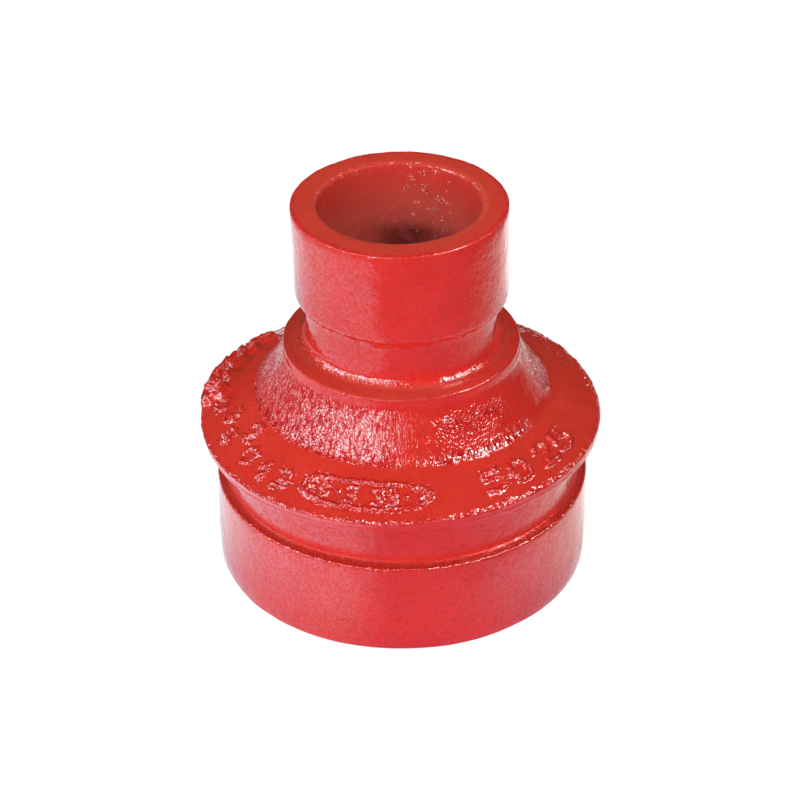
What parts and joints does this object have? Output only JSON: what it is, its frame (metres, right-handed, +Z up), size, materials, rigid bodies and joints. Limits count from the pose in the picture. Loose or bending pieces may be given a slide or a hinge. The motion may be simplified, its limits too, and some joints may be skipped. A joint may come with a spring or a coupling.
{
  "type": "grooved concentric reducer",
  "caption": "Cast iron reducing pipe fitting with a groove near each end, a sloping collar, a flared body, a shoulder and an open water way, painted red all over.",
  "frame": {"origin": "centre of the large end's face, which the part stands on", "axes": "+Z up the pipe axis from the large end to the small end; X and Y are free, the form is round"},
  "size_m": [0.0652, 0.0652, 0.064],
  "materials": {
    "red_paint": "gloss"
  },
  "bodies": {
    "root": {"reducer_body": "red_paint"}
  },
  "joints": []
}
